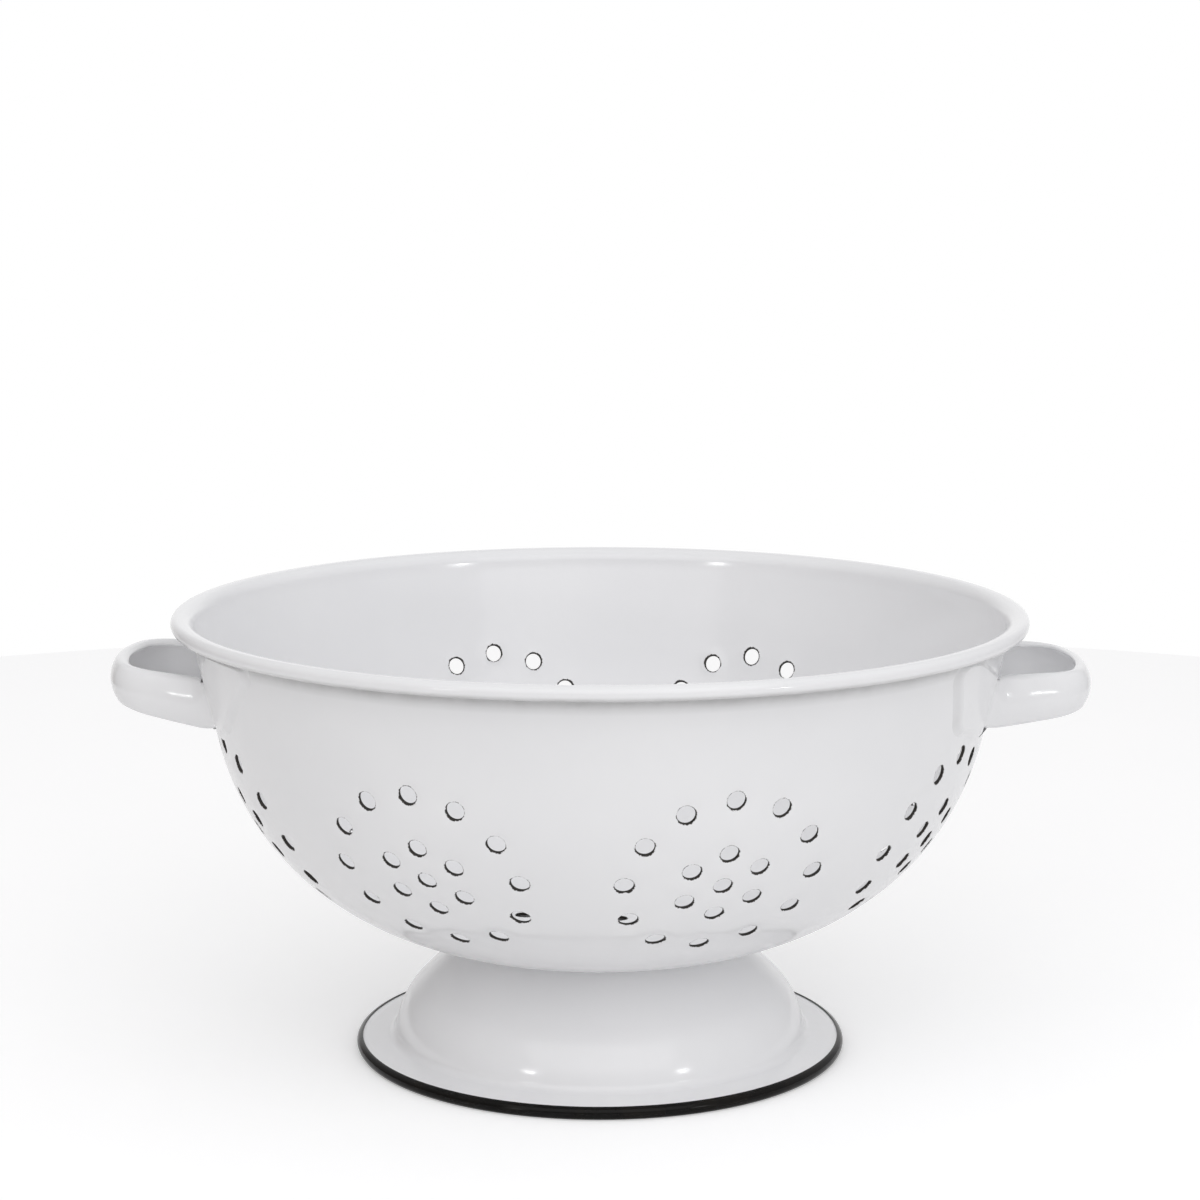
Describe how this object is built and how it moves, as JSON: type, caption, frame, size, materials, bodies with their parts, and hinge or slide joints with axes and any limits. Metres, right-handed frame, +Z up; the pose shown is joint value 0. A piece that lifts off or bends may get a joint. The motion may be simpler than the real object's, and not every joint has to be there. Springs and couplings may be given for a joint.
{
  "type": "colander",
  "caption": "Footed enamelled-steel colander: a round bowl punched with rosettes of drain holes, a rolled rim, two loop handles and a flared foot with a black edge.",
  "frame": {"origin": "centre of the foot, on the surface that it stands on", "axes": "+Z up along the bowl's axis, +X and -X through the two handles"},
  "size_m": [0.3226, 0.28, 0.148],
  "materials": {
    "white_enamel": "glossy vitreous enamel",
    "black_enamel": "glossy vitreous enamel",
    "weld_steel": "as welded"
  },
  "bodies": {
    "root": {"bowl": "white_enamel", "foot": "white_enamel", "foot_edge_enamel": "black_enamel", "handle_left": "white_enamel", "handle_right": "white_enamel", "handle_left_welds": "weld_steel", "handle_right_welds": "weld_steel", "foot_welds": "weld_steel"}
  },
  "joints": []
}
